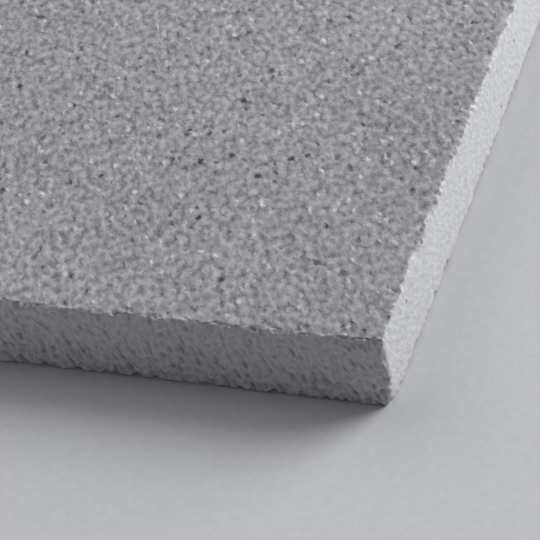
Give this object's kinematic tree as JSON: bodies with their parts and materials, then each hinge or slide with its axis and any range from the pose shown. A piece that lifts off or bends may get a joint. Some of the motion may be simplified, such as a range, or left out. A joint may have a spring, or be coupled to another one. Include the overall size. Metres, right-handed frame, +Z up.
{
  "type": "perlite roof insulation board",
  "caption": "Flat rectangular board of pressed expanded perlite that is laid on a roof deck as rigid insulation under the roof covering.",
  "frame": {"origin": "centre of the board's underside", "axes": "+X along the board's length, +Y across its width, +Z up through its thickness"},
  "size_m": [1.2192, 0.6096, 0.0254],
  "materials": {
    "perlite": "matte"
  },
  "bodies": {
    "root": {"perlite_board": "perlite"}
  },
  "joints": []
}
